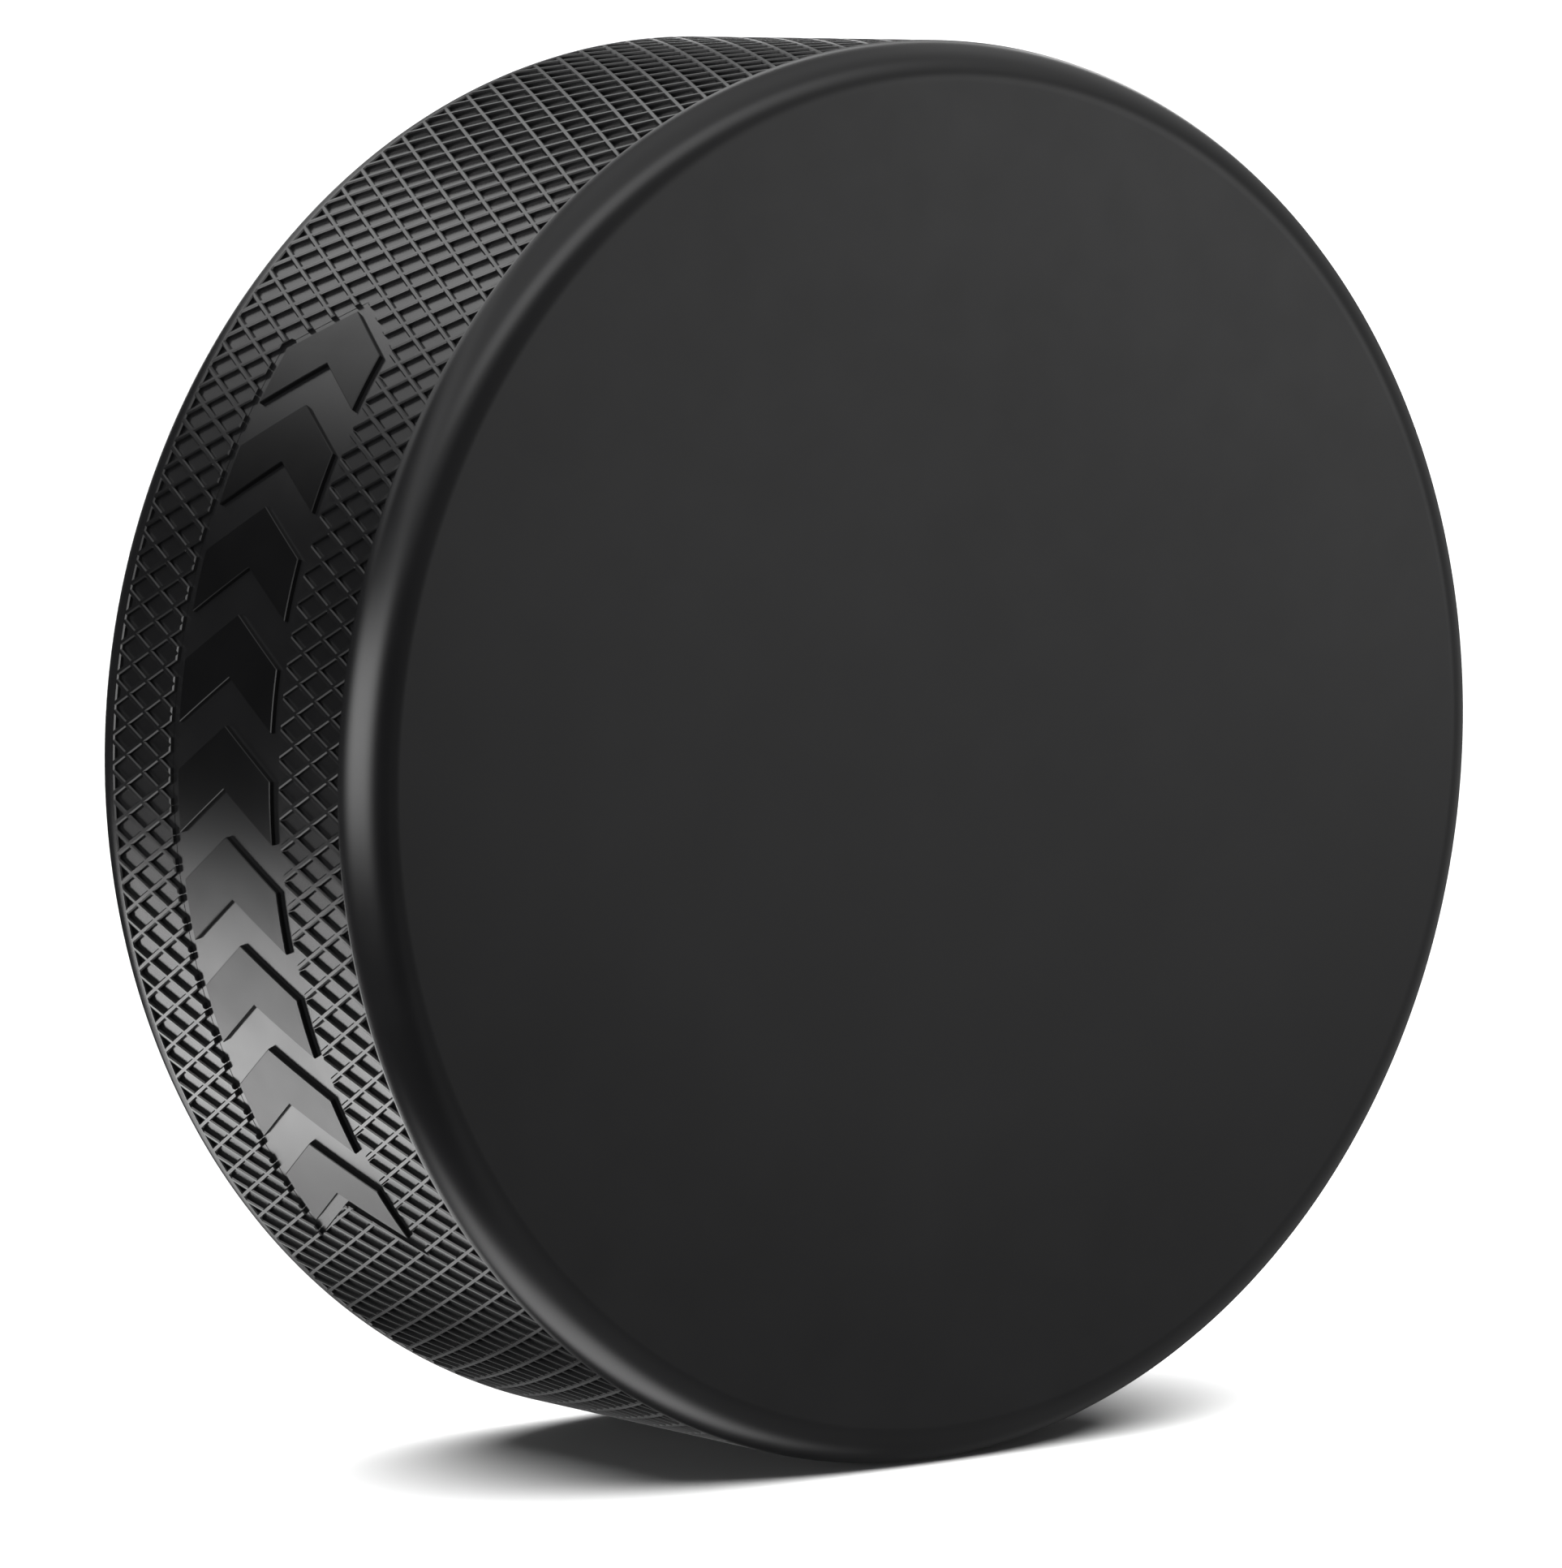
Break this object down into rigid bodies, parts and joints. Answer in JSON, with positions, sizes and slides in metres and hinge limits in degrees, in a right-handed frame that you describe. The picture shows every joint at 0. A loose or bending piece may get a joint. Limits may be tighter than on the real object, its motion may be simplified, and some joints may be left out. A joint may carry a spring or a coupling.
{
  "type": "hockey puck",
  "caption": "Flat round rubber disc for ice hockey with rounded edges, a diamond-knurled side band and a raised chevron emblem on a clear panel of the band.",
  "frame": {"origin": "centre of the bottom face, which the puck lies on", "axes": "+Z along the axis of the disc from the bottom face to the top face; -Y towards the middle of the emblem on the side"},
  "size_m": [0.0762, 0.0762, 0.0254],
  "materials": {
    "face_rubber": "smooth satin moulded rubber",
    "band_rubber": "satin moulded rubber with a raised diamond grip",
    "emblem_rubber": "satin moulded rubber",
    "core_rubber": "matte rubber"
  },
  "bodies": {
    "root": {"core_slug": "core_rubber", "bottom_cap": "face_rubber", "top_cap": "face_rubber", "side_band": "band_rubber", "emblem_chevron_1": "emblem_rubber", "emblem_chevron_2": "emblem_rubber", "emblem_chevron_3": "emblem_rubber", "emblem_chevron_4": "emblem_rubber", "emblem_chevron_5": "emblem_rubber", "emblem_chevron_6": "emblem_rubber", "emblem_chevron_7": "emblem_rubber", "emblem_chevron_8": "emblem_rubber", "emblem_chevron_9": "emblem_rubber"}
  },
  "joints": []
}
